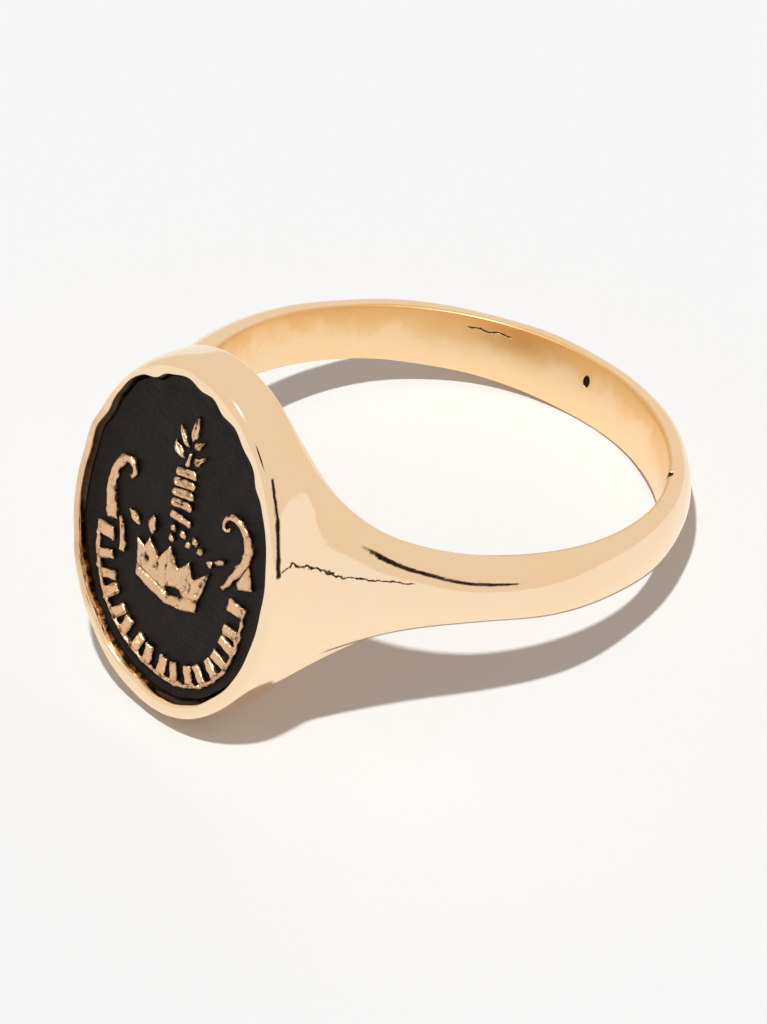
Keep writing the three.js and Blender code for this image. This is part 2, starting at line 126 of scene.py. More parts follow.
SHANK, HEAD, PLATE, RECESS = range(4)
EDGE_SUPPORT = 0.09  # keeps the finger hole's edges crisp
EDGE_LINES = 26
CROWN_LINES = 22
SKIN_ROWS = 15
SHANK_ROWS = 52


def on_ring(degrees, radius, z):
    angle = math.radians(degrees)
    return np.array([radius * math.sin(angle), radius * math.cos(angle), z])


def band_width(degrees):
    return blend(SHANK_WIDTH, FLANK_WIDTH, smooth(min(1, abs(degrees) / NARROWEST_AT)))


def band_thickness(degrees):
    angle = abs(degrees)
    if angle < FLANK_ANGLE:
        return blend(SHANK_THICKNESS, FLANK_THICKNESS, smooth(angle / FLANK_ANGLE))
    rise = (angle - FLANK_ANGLE) / (JOINT_ANGLE - FLANK_ANGLE)
    return blend(FLANK_THICKNESS, SHOULDER_THICKNESS, smooth(rise))


def crown_point(degrees, step):
    lift = math.radians(-90 + 180 * step / CROWN_LINES)
    crown = max(0, math.cos(lift)) ** CROWN_POWER
    radius = BORE_RADIUS + blend(SIDE_LAND, band_thickness(degrees), crown)
    return on_ring(degrees, radius, band_width(degrees) / 2 * math.sin(lift))


def across_bore(degrees, half):
    """Points over the finger hole's wall from its +Z edge to its -Z edge."""
    shares = [0.6, 0.2, -0.2, -0.6]
    steps = [half, half - EDGE_SUPPORT, *[half * share for share in shares], EDGE_SUPPORT - half, -half]
    return [on_ring(degrees, BORE_RADIUS - BORE_CROWN * (1 - (z / half) ** 2), z) for z in steps]


def band_section(degrees):
    half = band_width(degrees) / 2
    crown = [crown_point(degrees, step) for step in range(CROWN_LINES + 1)]
    low = on_ring(degrees, BORE_RADIUS + EDGE_SUPPORT, -half)
    high = on_ring(degrees, BORE_RADIUS + EDGE_SUPPORT, half)
    return [low, *crown, high, *across_bore(degrees, half), low]


def bore_half(degrees):
    t = (degrees - JOINT_ANGLE) / (180 - JOINT_ANGLE)
    return blend(band_width(JOINT_ANGLE), BORE_LAND_UNDER_HEAD, smooth(t)) / 2


def skin_lines():
    """(lift on the seal's outline, end point, direction and pull of arrival), -Z end first."""
    into_shank = on_ring(JOINT_ANGLE - 90, 1, 0)
    edges = []
    for i in range(EDGE_LINES + 1):
        t = i / EDGE_LINES
        degrees = blend(180, JOINT_ANGLE, t)
        arrive = unit(on_ring(degrees, -1, EDGE_FLARE * (1 - t)))
        arrive = unit(blend(arrive, into_shank, smooth(t)))
        pull = blend(EDGE_PULL, SHOULDER_PULL, smooth(t))
        end = on_ring(degrees, BORE_RADIUS, bore_half(degrees))
        edges.append((blend(90, EDGE_LIFT, t), end, arrive, pull))
    flip = np.array([1, 1, -1])
    below = [(-lift, end * flip, arrive * flip, pull) for lift, end, arrive, pull in edges]
    half = band_width(JOINT_ANGLE) / 2
    support_lift = blend(EDGE_LIFT, CROWN_LIFT, EDGE_SUPPORT / SIDE_LAND)
    support = on_ring(JOINT_ANGLE, BORE_RADIUS + EDGE_SUPPORT, half)
    crown = []
    for step in range(CROWN_LINES + 1):
        lift = CROWN_LIFT * (2 * step / CROWN_LINES - 1)
        crown.append((lift, crown_point(JOINT_ANGLE, step), into_shank, SHOULDER_PULL))
    under = (-support_lift, support * flip, into_shank, SHOULDER_PULL)
    over = (support_lift, support, into_shank, SHOULDER_PULL)
    return [*below, under, *crown, over, *reversed(edges)]


def skin_point(line, t):
    lift, end, arrive, pull = line
    angle = math.radians(lift)
    start = np.array([SEAL_WIDTH / 2 * math.cos(angle), -SEAT_DISTANCE, SEAL_LENGTH / 2 * math.sin(angle)])
    leave = np.array([0, 1, -FLANK_TAPER * math.sin(angle)])
    t2, t3 = t * t, t * t * t
    return (
        start * (2 * t3 - 3 * t2 + 1)
        + leave * SEAL_PULL * (t3 - 2 * t2 + t)
        + end * (3 * t2 - 2 * t3)
        + arrive * pull * (t3 - t2)
    )


# How far the rim's inner edge leaves its oval, as (degrees, millimetres) round the face.
RIM_EDGE = [
    (-3, 0), (15, 0.05), (25, 0.04), (34, -0.06), (40, -0.2), (47, -0.02), (55, -0.1), (63, 0.02),
    (72, -0.16), (79, 0.02), (86, -0.1), (95, 0.12), (108, 0.06), (116, -0.14), (124, 0.08),
    (133, 0.12), (141, 0.06), (150, -0.08), (160, 0.02), (170, -0.05), (187, 0.1), (202, 0.1),
    (219, 0.12), (238, 0), (259, -0.04), (279, 0.06), (303, 0.18), (319, 0.14), (338, 0.05),
]


def rim_waver(degrees):
    turn = degrees % 360
    closed = [*RIM_EDGE, (RIM_EDGE[0][0] + 360, RIM_EDGE[0][1])]
    for (start, low), (stop, high) in zip(closed, closed[1:]):
        if start <= turn <= stop:
            return blend(low, high, smooth((turn - start) / (stop - start)))
    return 0


def oval(lift, half_width, half_length):
    return np.array([half_width * math.cos(lift), half_length * math.sin(lift)])


def rim_edge(degrees, inset=0):
    """A point of the rim's wavering inner edge, or of a line inside it by an inset."""
    lift = math.radians(degrees)
    waver = rim_waver(degrees) + 0.02 * math.sin(9 * lift + 1) + 0.012 * math.sin(23 * lift) - inset
    return oval(lift, OPENING_HALF_WIDTH + waver, OPENING_HALF_LENGTH + waver) + OPENING_SHIFT


def rim_column(degrees):
    """One cut through the seal plate, from its seat up its outer wall, over the rim and down."""
    lift = math.radians(degrees)
    outer = oval(lift, SEAL_WIDTH / 2, SEAL_LENGTH / 2)
    inner = rim_edge(degrees)
    inward = unit(inner - outer)
    width = np.linalg.norm(inner - outer)
    top = RECESS_DEPTH + 0.02 * math.sin(5 * lift + 0.6)
    from_side = (degrees + 180) % 360 - 180
    soft = RIM_ROUNDING * (1 - RIM_SHARPENING * math.exp(-(from_side / RIM_SHARP_SPAN) ** 2))
    # How far in from the outer wall, and how high over the recess floor
    steps = [
        (0, RECESS_DEPTH - PLATE_THICKNESS),
        (0, RECESS_DEPTH - 1.3),
        (0.005, RECESS_DEPTH - 0.9),
        (0.02, RECESS_DEPTH - 0.2 - soft),
        (0.2 * soft, top - 0.6 * soft),
        (0.55 * soft, top - 0.16 * soft),
        (min(1.2 * soft, width * 0.5), top),
        (width - 0.2, top - 0.01),
        (width - 0.07, top - 0.03),
        (width - 0.01, top - 0.12),
        (width + 0.03, RECESS_DEPTH * 0.5),
        (width + 0.08, 0.2),
        (width + RECESS_DRAFT, 0.02),
        (width + 0.7, 0),
    ]
    return [(*(outer + inward * aside), height) for aside, height in steps]


FIRST_RECESS_STEP = 9


class Skin:
    """Collects quads by their corner points, joining the points that coincide."""

    def __init__(self):
        self.index = {}
        self.points = []
        self.faces = []
        self.parts = []

    def vertex(self, point):
        key = tuple(int(round(value * 1e5)) for value in point)
        if key not in self.index:
            self.index[key] = len(self.points)
            self.points.append(tuple(point))
        return self.index[key]

    def grid(self, rows, part, mirror):
        """A patch over rows of points, with its mirror image in X."""
        for sign in (1, -1) if mirror else (1,):
            ids = [[self.vertex((sign * p[0], p[1], p[2])) for p in row] for row in rows]
            for low, high in zip(ids, ids[1:]):
                for k in range(len(low) - 1):
                    corners = [low[k], low[k + 1], high[k + 1], high[k]]
                    self.face(corners[::sign], part)

    def face(self, corners, part):
        distinct = [c for i, c in enumerate(corners) if c != corners[i - 1]]
        if len(distinct) > 2:
            self.faces.append(distinct)
            self.parts.append(part)


def gold_cage():
    cage = Skin()
    lines = skin_lines()
    steps = [i / SKIN_ROWS for i in range(SKIN_ROWS)] + [1 - EDGE_SUPPORT / 6, 1]
    rows = [[skin_point(line, t) for line in lines] for t in steps]
    cage.grid(rows, HEAD, True)
    angles = [blend(180, JOINT_ANGLE, i / EDGE_LINES) for i in range(EDGE_LINES + 1)]
    cage.grid([across_bore(a, bore_half(a)) for a in angles], HEAD, True)
    turns = [blend(-JOINT_ANGLE, JOINT_ANGLE, i / SHANK_ROWS) for i in range(SHANK_ROWS + 1)]
    cage.grid([band_section(a)[::-1] for a in turns], SHANK, False)
    lifts = [line[0] for line in lines]
    round_face = lifts + [180 - lift for lift in reversed(lifts)][1:]
    columns = [from_face(rim_column(degrees)) for degrees in round_face]
    cage.grid([column[: FIRST_RECESS_STEP + 1] for column in columns], PLATE, False)
    cage.grid([column[FIRST_RECESS_STEP:] for column in columns], RECESS, False)
    floor_ids = [cage.vertex(column[-1]) for column in columns[:-1]]
    middle = cage.vertex((0, -FLOOR_DISTANCE, 0))
    for i, corner in enumerate(floor_ids):
        cage.face([middle, corner, floor_ids[(i + 1) % len(floor_ids)]], RECESS)
    return cage


def new_object(name, points, faces, smooth_shaded=True, edges=()):
    mesh = bpy.data.meshes.new(name)
    corners = [tuple(map(float, point)) for point in points]
    mesh.from_pydata(corners, list(edges), [list(map(int, face)) for face in faces])
    mesh.validate()
    if smooth_shaded:
        mesh.shade_smooth()
    piece = bpy.data.objects.new(name, mesh)
    bpy.context.scene.collection.objects.link(piece)
    return piece


def evaluated(piece):
    """A plain mesh of the object with its modifiers applied. The object itself goes."""
    depsgraph = bpy.context.evaluated_depsgraph_get()
    mesh = bpy.data.meshes.new_from_object(piece.evaluated_get(depsgraph))
    bpy.data.objects.remove(piece)
    return mesh


def points_of(mesh):
    flat = np.zeros(len(mesh.vertices) * 3, np.float32)
    mesh.vertices.foreach_get("co", flat)
    return flat.reshape(-1, 3).astype(float)


def normals_of(mesh):
    flat = np.zeros(len(mesh.vertices) * 3, np.float32)
    mesh.vertex_normals.foreach_get("vector", flat)
    return flat.reshape(-1, 3).astype(float)


def recalculate_outwards(mesh):
    work = bmesh.new()
    work.from_mesh(mesh)
    bmesh.ops.recalc_face_normals(work, faces=work.faces)
    work.to_mesh(mesh)
    work.free()


def swell(points, waves):
    """A sum of a few long waves through space: (wavelength, height, direction, phase)."""
    total = np.zeros(len(points))
    for length, height, direction, phase in waves:
        total += height * np.sin(points @ unit(np.array(direction)) * 2 * math.pi / length + phase)
    return total


CAST_WAVES = [
    (5.1, 0.014, (1.0, 0.4, 0.3), 0.3),
    (3.7, 0.009, (-0.3, 1.0, 0.5), 1.9),
    (4.3, 0.010, (0.2, -0.5, 1.0), 4.0),
    (2.6, 0.0045, (0.8, 0.7, -0.6), 2.2),
    (1.9, 0.0025, (-0.7, 0.3, 0.9), 5.1),
]


def gold_body():
    cage = gold_cage()
    piece = new_object("gold_cage", cage.points, cage.faces)
    piece.data.polygons.foreach_set("material_index", cage.parts)
    for _ in range(4):
        piece.data.materials.append(None)
    recalculate_outwards(piece.data)
    divide = piece.modifiers.new("divide", "SUBSURF")
    divide.levels = divide.render_levels = 2
    mesh = evaluated(piece)
    points = points_of(mesh)
    points += normals_of(mesh) * swell(points, CAST_WAVES)[:, None]
    placed = to_row(points)
    placed[:, 2] = np.maximum(placed[:, 2], 0)
    mesh.vertices.foreach_set("co", (placed * MM).ravel())
    mesh.update()
    return mesh


def split(mesh, name, parts, closings):
    """The faces of some parts as a piece of its own, with each open end closed flat."""
    chosen = [p for p in mesh.polygons if p.material_index in parts]
    used = sorted({v for p in chosen for v in p.vertices})
    new_id = {old: new for new, old in enumerate(used)}
    points = points_of(mesh)[used]
    normals = normals_of(mesh)[used]
    faces = [[new_id[v] for v in p.vertices] for p in chosen]
    slots = [parts.index(p.material_index) for p in chosen]
    seen = set()
    for face in faces:
        for a, b in zip(face, face[1:] + face[:1]):
            seen.add((a, b))
    follow = {b: a for a, b in seen if (b, a) not in seen}
    caps = []
    while follow:
        first = next(iter(follow))
        loop = [first]
        step = follow.pop(first)
        while step != first:
            loop.append(step)
            step = follow.pop(step)
        caps.append(loop)
    assert len(caps) == closings, (name, len(caps))
    centre_points = []
    for loop in caps:
        centre = len(points) + len(centre_points)
        centre_points.append(points[loop].mean(0))
        for a, b in zip(loop, loop[1:] + loop[:1]):
            faces.append([a, b, centre])
            slots.append(0)
    if centre_points:
        points = np.vstack([points, centre_points])
    piece = new_object(name, points, faces)
    piece.data.polygons.foreach_set("material_index", slots)
    cap_faces = len(chosen)
    corner_normals = []
    for face in piece.data.polygons:
        if face.index < cap_faces:
            corner_normals += [normals[v] for v in face.vertices]
        else:
            face.use_smooth = False
            corner_normals += [face.normal] * len(face.vertices)
    piece.data.normals_split_custom_set([tuple(map(float, n)) for n in corner_normals])
    return piece


# ---- materials ----

LINE_DEPTH = 0.5  # how far below the surface a dark line is still looked for
LINE_OVERLAP = 0.12  # how far it runs on past its ends


class Nodes:
    """A node tree under construction."""

    def __init__(self, tree):
        self.tree = tree
        self.tree.nodes.clear()

    def add(self, kind, **settings):
        node = self.tree.nodes.new(kind)
        for key, value in settings.items():
            setattr(node, key, value)
        return node

    def join(self, source, target):
        self.tree.links.new(source, target)

    def feed(self, value, socket):
        if isinstance(value, bpy.types.NodeSocket):
            self.join(value, socket)
        else:
            socket.default_value = value

    def math(self, operation, a, b=0.0, clamp=False):
        node = self.add("ShaderNodeMath", operation=operation, use_clamp=clamp)
        self.feed(a, node.inputs[0])
        self.feed(b, node.inputs[1])
        return node.outputs[0]

    def place(self):
        """Millimetres in the row frame."""
        coordinates = self.add("ShaderNodeTexCoord")
        scale = self.add("ShaderNodeVectorMath", operation="SCALE")
        self.join(coordinates.outputs["Object"], scale.inputs[0])
        scale.inputs["Scale"].default_value = 1 / MM
        return scale.outputs[0]

    def along(self, place, direction, start=0.0):
        """How far a place lies along a direction, past a starting value."""
        dot = self.add("ShaderNodeVectorMath", operation="DOT_PRODUCT")
        self.join(place, dot.inputs[0])
        dot.inputs[1].default_value = direction
        return self.math("SUBTRACT", dot.outputs["Value"], start)

    def combine(self, x, y, z):
        node = self.add("ShaderNodeCombineXYZ")
        for value, socket in zip((x, y, z), node.inputs):
            self.feed(value, socket)
        return node.outputs[0]

    def noise(self, place, scale, detail=3.0, roughness=0.5):
        node = self.add("ShaderNodeTexNoise")
        self.join(place, node.inputs["Vector"])
        node.inputs["Scale"].default_value = scale
        node.inputs["Detail"].default_value = detail
        node.inputs["Roughness"].default_value = roughness
        return node.outputs["Fac"]

    def remap(self, value, low, high, to_low=0.0, to_high=1.0):
        node = self.add("ShaderNodeMapRange", interpolation_type="SMOOTHSTEP")
        self.join(value, node.inputs["Value"])
        node.inputs["From Min"].default_value = low
        node.inputs["From Max"].default_value = high
        node.inputs["To Min"].default_value = to_low
        node.inputs["To Max"].default_value = to_high
        return node.outputs[0]

    def mix(self, factor, a, b):
        node = self.add("ShaderNodeMix", data_type="RGBA")
        self.feed(factor, node.inputs[0])
        self.feed(a, node.inputs[6])
        self.feed(b, node.inputs[7])
        return node.outputs[2]

    def bore_wall(self, place):
        """1 on the wall of the finger hole, and the height up that wall from the middle of the band."""
        offset = self.add("ShaderNodeVectorMath", operation="SUBTRACT")
        self.join(place, offset.inputs[0])
        offset.inputs[1].default_value = MIDDLE
        up = self.along(offset.outputs[0], FACE_ALONG)
        length = self.add("ShaderNodeVectorMath", operation="LENGTH")
        self.join(offset.outputs[0], length.inputs[0])
        reach = length.outputs["Value"]
        squared = self.math("SUBTRACT", self.math("MULTIPLY", reach, reach), self.math("MULTIPLY", up, up))
        radius = self.math("SQRT", squared)
        return self.remap(radius, BORE_RADIUS + 0.14, BORE_RADIUS + 0.02), up

    def bump(self, height, strength, distance, normal=None):
        node = self.add("ShaderNodeBump")
        node.inputs["Strength"].default_value = strength
        node.inputs["Distance"].default_value = distance
        self.join(height, node.inputs["Height"])
        if normal is not None:
            self.join(normal, node.inputs["Normal"])
        return node.outputs[0]

    def near(self, place, centre, radius, stretch=(1, 1, 1)):
        """1 at a point, falling to 0 at a radius from it."""
        offset = self.add("ShaderNodeVectorMath", operation="SUBTRACT")
        self.join(place, offset.inputs[0])
        offset.inputs[1].default_value = centre
        squash = self.add("ShaderNodeVectorMath", operation="MULTIPLY")
        self.join(offset.outputs[0], squash.inputs[0])
        squash.inputs[1].default_value = stretch
        length = self.add("ShaderNodeVectorMath", operation="LENGTH")
        self.join(squash.outputs[0], length.inputs[0])
        return self.remap(length.outputs["Value"], radius, 0)

    def dark_line(self, place, start, end, outward, width, ragged):
        """1 on a line between two points of a surface, 0 at a width from it, with a ragged course."""
        run = Vector(end) - Vector(start)
        onward = run.normalized()
        sideways_direction = Vector(outward).cross(onward).normalized()
        below = onward.cross(sideways_direction)
        wander = self.remap(self.noise(place, 2.4, 5, 0.65), 0.3, 0.7, -ragged, ragged)
        side = self.along(place, sideways_direction, sideways_direction.dot(Vector(start)))
        off = self.math("ABSOLUTE", self.math("ADD", side, wander))
        middle = onward.dot((Vector(start) + Vector(end)) / 2)
        reach = self.math("ABSOLUTE", self.along(place, onward, middle))
        depth = self.math("ABSOLUTE", self.along(place, below, below.dot(Vector(start))))
        ends = self.remap(reach, run.length / 2 + LINE_OVERLAP, run.length / 2)
        held = self.math("MULTIPLY", ends, self.remap(depth, LINE_DEPTH, LINE_DEPTH - 0.1))
        return self.math("MULTIPLY", self.remap(off, width, width * 0.3), held)


class Finish(Nodes):
    """A material's node tree round one principled shader."""

    def __init__(self, name):
        self.material = bpy.data.materials.new(name)
        self.material.use_nodes = True
        super().__init__(self.material.node_tree)
        output = self.add("ShaderNodeOutputMaterial")
        self.shader = self.add("ShaderNodeBsdfPrincipled")
        self.join(self.shader.outputs["BSDF"], output.inputs["Surface"])


# Dark lines on the gold, in the row frame: from, to, outward, half width, wander to a side
CAST_AND_REFLECTION_LINES = [
    # Painted reflection: a dark line down the rim's +X edge, where the ring reflects something dark
    ((3.92, -8.04, 11.46), (4.56, -8.48, 10.29), (0.8, -0.5, 0.3), 0.08, 0.02),
    ((4.56, -8.48, 10.29), (5.0, -8.94, 8.98), (0.8, -0.5, 0.3), 0.11, 0.02),
    ((5.0, -8.94, 8.98), (5.12, -9.1, 8.37), (0.8, -0.5, 0.3), 0.12, 0.02),
    # A casting line over the +X shoulder, painted darker and wider as a reflection of something dark along
    # it
    ((5.12, -9.1, 8.37), (5.1, -8.41, 8.52), (1, 0, 0.1), 0.06, 0.08),
    ((5.1, -8.41, 8.52), (5.28, -7.41, 7.71), (0.95, -0.1, 0.3), 0.06, 0.08),
    ((5.28, -7.41, 7.71), (5.79, -6.64, 7.2), (0.9, -0.2, 0.4), 0.055, 0.08),
    ((5.79, -6.64, 7.2), (7.09, -4.7, 6.48), (0.8, -0.3, 0.5), 0.035, 0.05),
    # A casting line across the finger hole's wall
    ((-5.24, 9.18, 2.52), (-3.9, 9.9, 2.3), (0.5, -0.85, 0.2), 0.05, 0.05),
]
# Gas pits: centre, radius and stretch along X, Y and Z
PITS = [
    ((-0.59, 10.67, 1.7), 0.4, (1.5, 0.7, 1)),
    ((6.6, 7.95, 3.22), 0.24, (1, 0.7, 1)),
    ((7.35, -2.95, 6.72), 0.13, (1, 1, 1)),
]

FACE_ACROSS = (1, 0, 0)
FACE_ALONG = (0, math.sin(TILT), math.cos(TILT))
FACE_OUT = (0, -math.cos(TILT), math.sin(TILT))
FLOOR_PLACE = to_row(from_face([(0, 0, 0)]))[0]
FLOOR_OUT = float(FLOOR_PLACE @ np.array(FACE_OUT))
FLOOR_ALONG = float(FLOOR_PLACE @ np.array(FACE_ALONG))

GOLD_COLOUR = (0.99, 0.77, 0.53, 1)
WARM_GOLD_COLOUR = (0.99, 0.755, 0.495, 1)
# Painted reflection: a deeper tan on the finger hole's wall for the shaded gold and floor that it reflects
BORE_REFLECTION_COLOUR = (0.87, 0.53, 0.22, 1)
BROWN_SIDE_COLOUR = (0.72, 0.46, 0.27, 1)
AGED_COLOUR = (0.8, 0.52, 0.31, 1)
# Oxide in the hollows; also the dark of the painted reflection lines on the polished gold
OXIDE_AND_REFLECTION_COLOUR = (0.018, 0.013, 0.01, 1)
FIELD_BLACK = (0.004, 0.003, 0.0025, 1)
FIELD_BROWN = (0.015, 0.01, 0.008, 1)
FIELD_WORN = (0.12, 0.066, 0.035, 1)
TABLE_COLOUR = (0.8, 0.8, 0.8, 1)


def face_place(nodes, place):
    """A place in the face's own frame: across, along the finger, out of the recess floor."""
    across = nodes.along(place, FACE_ACROSS)
    along = nodes.along(place, FACE_ALONG, FLOOR_ALONG)
    out = nodes.along(place, FACE_OUT, FLOOR_OUT)
    return across, along, out


def polished_gold():
    nodes = Finish("polished_gold")
    place = nodes.place()
    shader = nodes.shader
    shader.inputs["Metallic"].default_value = 1
    tone = nodes.noise(place, 0.35, 2)
    warm = nodes.mix(nodes.remap(tone, 0.35, 0.65), GOLD_COLOUR, WARM_GOLD_COLOUR)
    # Dark, sunk marks: casting lines, the painted reflection lines along the rim and shoulder, and gas pits
    marks = 0.0
    for line in CAST_AND_REFLECTION_LINES:
        marks = nodes.math("MAXIMUM", marks, nodes.dark_line(place, *line))
    for pit in PITS:
        marks = nodes.math("MAXIMUM", marks, nodes.remap(nodes.near(place, *pit), 0.25, 0.45))
    # Painted reflection: the finger hole's wall is tinted tan, most towards its top, for the shaded gold
    # and floor it reflects
    wall, up = nodes.bore_wall(place)
    cloud = nodes.remap(nodes.noise(place, 0.55, 3, 0.6), 0.35, 0.6, -0.35, 0.35)
    bore_reflection = nodes.remap(nodes.math("ADD", up, cloud), -0.35, 1.15, 0.3, 1)
    warm = nodes.mix(nodes.math("MULTIPLY", wall, bore_reflection), warm, BORE_REFLECTION_COLOUR)
    across, _, out = face_place(nodes, place)
    # Browner in patches over the rim and the upper outer wall on the seal's -X side
    brown_side = nodes.math("MULTIPLY", nodes.remap(across, -3.2, -5.1), nodes.remap(out, 0.05, 0.5))
    brown_patches = nodes.remap(nodes.noise(place, 1.1, 4, 0.6), 0.25, 0.7, 0.4, 1)
    warm = nodes.mix(nodes.math("MULTIPLY", brown_side, brown_patches), warm, BROWN_SIDE_COLOUR)
    nodes.join(nodes.mix(marks, warm, OXIDE_AND_REFLECTION_COLOUR), shader.inputs["Base Color"])
    haze = nodes.noise(place, 1.3, 4)
    satin = nodes.math("MULTIPLY", wall, 0.26)
    polish = nodes.math("ADD", nodes.remap(haze, 0.3, 0.75, 0.045, 0.1), satin)
    roughness = nodes.math("MAXIMUM", polish, nodes.math("MULTIPLY", marks, 0.5))
    nodes.join(roughness, shader.inputs["Roughness"])
    grain = nodes.bump(nodes.noise(place, 26, 4, 0.6), 0.08, 0.003 * MM)
    dents = nodes.bump(nodes.noise(place, 1.7, 3), 0.4, 0.012 * MM, grain)
    sunk = nodes.bump(nodes.math("SUBTRACT", 1, marks), 0.8, 0.06 * MM, dents)
    nodes.join(sunk, shader.inputs["Normal"])
    return nodes.material


def recess_wall():
    nodes = Finish("recess_wall")
    place = nodes.place()
    _, _, out = face_place(nodes, place)
    shader = nodes.shader
    shader.inputs["Metallic"].default_value = 1
    ragged = nodes.math("ADD", out, nodes.remap(nodes.noise(place, 3.2, 4), 0.2, 0.8, -0.14, 0.14))
    bare = nodes.remap(ragged, RECESS_DEPTH - 0.2, RECESS_DEPTH - 0.04)
    nodes.join(nodes.mix(bare, OXIDE_AND_REFLECTION_COLOUR, AGED_COLOUR), shader.inputs["Base Color"])
    nodes.join(nodes.remap(bare, 0, 1, 0.5, 0.22), shader.inputs["Roughness"])
    nodes.join(nodes.bump(nodes.noise(place, 5, 5, 0.6), 0.8, 0.05 * MM), shader.inputs["Normal"])
    return nodes.material


def blackened():
    nodes = Finish("blackened")
    place = nodes.place()
    across, along, out = face_place(nodes, place)
    shader = nodes.shader
    long_way = nodes.math("MULTIPLY", across, 0.5)
    short_way = nodes.math("MULTIPLY", along, 2.6)
    strokes = nodes.combine(long_way, short_way, out)
    brushed = nodes.noise(strokes, 2.4, 5, 0.62)
    spots = nodes.noise(place, 4.5, 4, 0.6)
    shade = nodes.mix(nodes.remap(brushed, 0.3, 0.7), FIELD_BLACK, FIELD_BROWN)
    worn = nodes.remap(spots, 0.7, 0.82, 0, 0.5)
    nodes.join(nodes.mix(worn, shade, FIELD_WORN), shader.inputs["Base Color"])
    nodes.join(nodes.remap(brushed, 0.3, 0.7, 0.42, 0.62), shader.inputs["Roughness"])
    shader.inputs["Metallic"].default_value = 0.1
    shader.inputs["Specular IOR Level"].default_value = 0.14
    stroke_bump = nodes.bump(brushed, 0.6, 0.05 * MM)
    nodes.join(nodes.bump(spots, 0.5, 0.05 * MM, stroke_bump), shader.inputs["Normal"])
    return nodes.material


def aged_gold():
    nodes = Finish("aged_gold")
    place = nodes.place()
    _, _, out = face_place(nodes, place)
    shader = nodes.shader
    shader.inputs["Metallic"].default_value = 1
    pits = nodes.noise(place, 4.2, 5, 0.62)
    level = nodes.math("ADD", out, nodes.remap(pits, 0.3, 0.75, -0.1, 0.07))
    bare = nodes.remap(level, FIELD_TOP + 0.02, FIELD_TOP + 0.13)
    dirt = nodes.remap(nodes.noise(place, 3.1, 4, 0.6), 0.6, 0.72, 1, 0.35)
    cover = nodes.math("MULTIPLY", bare, dirt)
    nodes.join(nodes.mix(cover, OXIDE_AND_REFLECTION_COLOUR, AGED_COLOUR), shader.inputs["Base Color"])
    nodes.join(nodes.remap(cover, 0, 1, 0.5, 0.28), shader.inputs["Roughness"])
    fine = nodes.bump(nodes.noise(place, 13, 4, 0.6), 0.4, 0.02 * MM)
    nodes.join(nodes.bump(pits, 0.8, 0.05 * MM, fine), shader.inputs["Normal"])
    return nodes.material


def table_white():
    nodes = Finish("table_white")
    nodes.shader.inputs["Base Color"].default_value = TABLE_COLOUR
    nodes.shader.inputs["Roughness"].default_value = 1
    nodes.shader.inputs["Specular IOR Level"].default_value = 0
    return nodes.material


POLISHED = polished_gold()
RECESS_WALL = recess_wall()
BLACKENED = blackened()
AGED = aged_gold()


def finish_piece(piece, slot_name, nodes_replaced, *materials):
    piece.data.materials.clear()
    for material in materials:
        piece.data.materials.append(material)
    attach(piece, "root")
    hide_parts(*nodes_replaced)


body = gold_body()
shank = split(body, "shank_skin", [SHANK], 2)
head = split(body, "head_skin", [HEAD], 3)
plate = split(body, "seal_plate_skin", [PLATE, RECESS], 1)
finish_piece(shank, "polished_gold", ["shank"], POLISHED)
finish_piece(head, "polished_gold", ["head"], POLISHED)
finish_piece(plate, "polished_gold", ["seal_plate"], POLISHED, RECESS_WALL)

# ---- black field ----

FIELD_FOOT = 0.03
FIELD_GAP = 0.02  # between the coat and the recess wall
FIELD_FLAT_SHARE = 0.93  # of the way to the wall before the coat turns up
FIELD_TURN_UP = 0.1

def make_field():
    """The black coat of the recess floor, turned up a little against the wall."""
    rings, turns = 40, 360
    inset = RECESS_DRAFT + FIELD_GAP
    edge = np.array([rim_edge(360 * i / turns, inset) for i in range(turns)])
    points = [(0, 0, FIELD_TOP)]
    for ring in range(1, rings + 1):
        reach = math.sin(math.pi / 2 * ring / rings)
        for x, y in edge * reach:
            rough = 0.02 * math.sin(1.7 * x + 0.6 * y) * math.cos(1.9 * y)
            rough += 0.01 * math.sin(6.1 * x - 2.3 * y)
            turned_up = FIELD_TURN_UP * max(0, reach - FIELD_FLAT_SHARE) / (1 - FIELD_FLAT_SHARE)
            points.append((x, y, FIELD_TOP + rough + turned_up))
    under = len(points)
    points += [(x, y, FIELD_FOOT) for x, y in edge]
    points.append((0, 0, FIELD_FOOT))
    faces = [[0, 1 + i, 1 + (i + 1) % turns] for i in range(turns)]
    starts = [1 + turns * ring for ring in range(rings)] + [under]
    for low, high in zip(starts, starts[1:]):
        for i in range(turns):
            j = (i + 1) % turns
            faces.append([low + i, high + i, high + j, low + j])
    faces += [[under + turns, under + (i + 1) % turns, under + i] for i in range(turns)]
    placed = to_row(from_face(points)) * MM
    return new_object("black_field_skin", placed, faces)


field = make_field()
finish_piece(field, "blackened", ["black_field", "coronet_inlay"], BLACKENED)


# ---- crest: outlines on their own grid of millimetres, fitted to the opening ----

CREST_GRID = (4.1, 5.75)  # half width and half length of the grid that the outlines are drawn on
CREST_SCALE = np.array([
    (OPENING_HALF_WIDTH - CREST_MARGIN) / CREST_GRID[0],
    (OPENING_HALF_LENGTH - CREST_MARGIN) / CREST_GRID[1],
])
RIBBON_WIDTH = 0.86
RIBBON_RAIL = 0.15
RIBBON_BARS = 15
RIBBON_BAR_WIDTH = 0.38
RIBBON_BAR_LEAN = 0.08
RIBBON_END = 0.5
RIBBON_FRAME_PARTS = 3  # the rail and the two end pieces, before the bars
BAR_SEED = 7
LEAST_BAR = (0.86, 0.97, 1)  # share of a bar's width, length and height
LARGEST_BAR = (1.1, 1.03, 1)


def on_crest(points):
    return np.asarray(points, float) * CREST_SCALE


